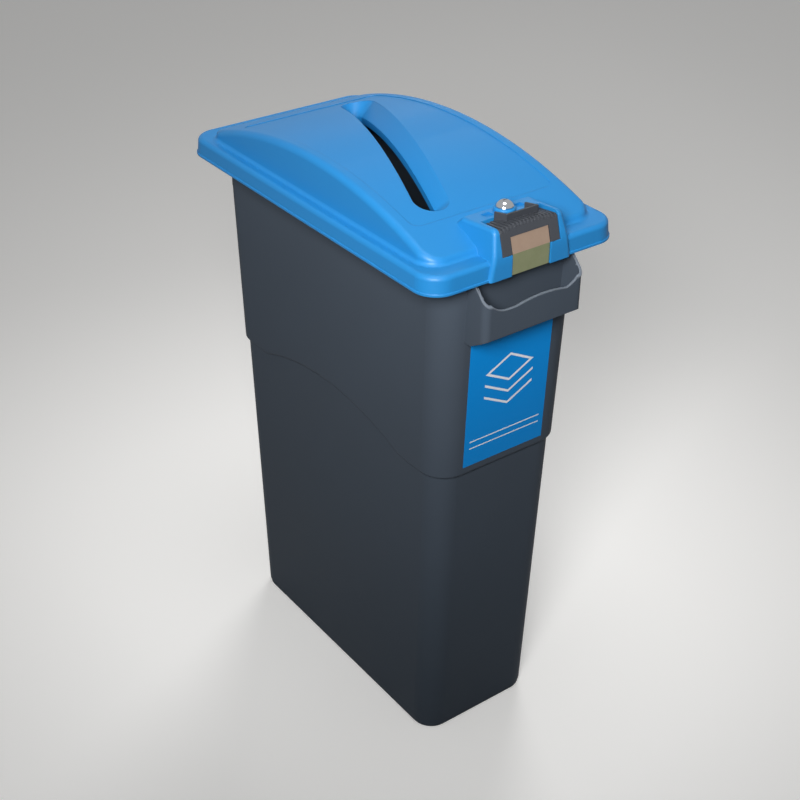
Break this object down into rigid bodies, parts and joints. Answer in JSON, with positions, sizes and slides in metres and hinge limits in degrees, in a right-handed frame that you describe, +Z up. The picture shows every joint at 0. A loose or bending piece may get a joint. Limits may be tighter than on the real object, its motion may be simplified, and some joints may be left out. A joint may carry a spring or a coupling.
{
  "type": "recycling bin",
  "caption": "Tall slim recycling bin with a tapered body, end handles, a hinged arched lid with a diagonal paper slot, a sprung latch and a key lock.",
  "frame": {"origin": "on the floor, under the middle of the base", "axes": "+X across the width, -Y towards the latch end, +Z up"},
  "size_m": [0.288, 0.568, 0.805],
  "materials": {
    "body_plastic": "finely textured moulded plastic, dark grey",
    "lid_plastic": "satin moulded plastic, blue",
    "latch_plastic": "satin moulded plastic, dark grey",
    "label_film": "printed sticker film, blue with pale lines",
    "passivated_steel": "yellow passivated zinc",
    "chrome_lock": "polished chrome",
    "zinc_steel": "bright zinc plated steel"
  },
  "bodies": {
    "bin": {"bin_body": "body_plastic", "front_label": "label_film", "hinge_bracket": "zinc_steel", "hinge_pin": "zinc_steel", "hinge_screws": "zinc_steel"},
    "lid": {"lid": "lid_plastic", "latch_pivot_pin": "zinc_steel", "lock_barrel": "chrome_lock", "lock_washer": "zinc_steel", "lock_nut": "zinc_steel"},
    "latch": {"front_latch": "latch_plastic", "hasp_plate": "passivated_steel", "hasp_rivets": "zinc_steel", "latch_spring": "zinc_steel"},
    "lock": {"lock_plug": "chrome_lock", "lock_cam": "zinc_steel", "cam_screw": "zinc_steel"}
  },
  "joints": [
    {"name": "lid_hinge", "type": "hinge", "parent": "bin", "child": "lid", "pos_m": [0, 0.277, 0.734], "axis": [-1, 0, 0], "range_deg": [0, 100]},
    {"name": "latch_pivot", "type": "hinge", "parent": "lid", "child": "latch", "pos_m": [0, -0.254, 0.7765], "axis": [-1, 0, 0], "range_deg": [0, 10], "stiffness_Nm_per_rad": 0.6, "springref_deg": -11.46},
    {"name": "lock_turn", "type": "hinge", "parent": "lid", "child": "lock", "pos_m": [0, -0.221, 0.78], "axis": [0, 0, 1], "range_deg": [-90, 0]}
  ]
}
